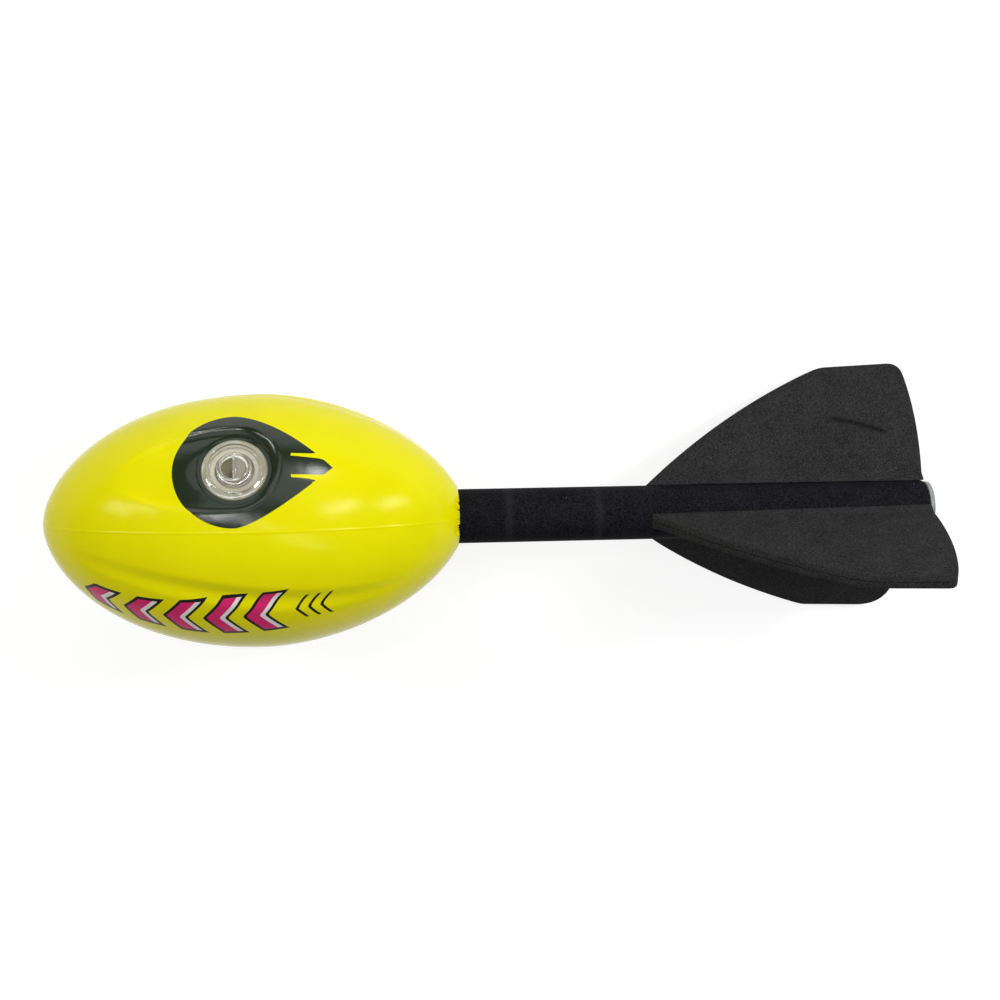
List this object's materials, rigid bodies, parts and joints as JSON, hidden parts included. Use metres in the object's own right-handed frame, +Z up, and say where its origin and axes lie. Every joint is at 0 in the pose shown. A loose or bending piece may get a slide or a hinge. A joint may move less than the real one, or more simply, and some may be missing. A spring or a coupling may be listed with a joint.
{
  "type": "vortex throwing toy",
  "caption": "Foam throwing toy: a ball-shaped head with whistles in air scoops, a slim foam tail on a plastic tube, and swept foam fins at its end.",
  "frame": {"origin": "on the floor under the middle of the toy's box, with the toy lying at rest on its head and two fin tips", "axes": "+X from nose to tail, +Z up, +Y to the side on which the upper whistle faces"},
  "size_m": [0.3208, 0.1006, 0.0901],
  "materials": {
    "head_foam": "satin",
    "clear_plastic": "gloss",
    "tube_plastic": "satin",
    "sleeve_foam": "matte",
    "fin_foam": "matte"
  },
  "bodies": {
    "root": {"head_foam": "head_foam", "whistle_face_left": "clear_plastic", "whistle_cup_left": "clear_plastic", "whistle_face_right": "clear_plastic", "whistle_cup_right": "clear_plastic", "core_tube": "tube_plastic", "tube_front_plug": "tube_plastic", "tail_sleeve": "sleeve_foam", "tail_end_cap": "tube_plastic", "fin_1_sheet_a": "fin_foam", "fin_1_sheet_b": "fin_foam", "fin_2_sheet_a": "fin_foam", "fin_2_sheet_b": "fin_foam", "fin_3_sheet_a": "fin_foam", "fin_3_sheet_b": "fin_foam"}
  },
  "joints": []
}
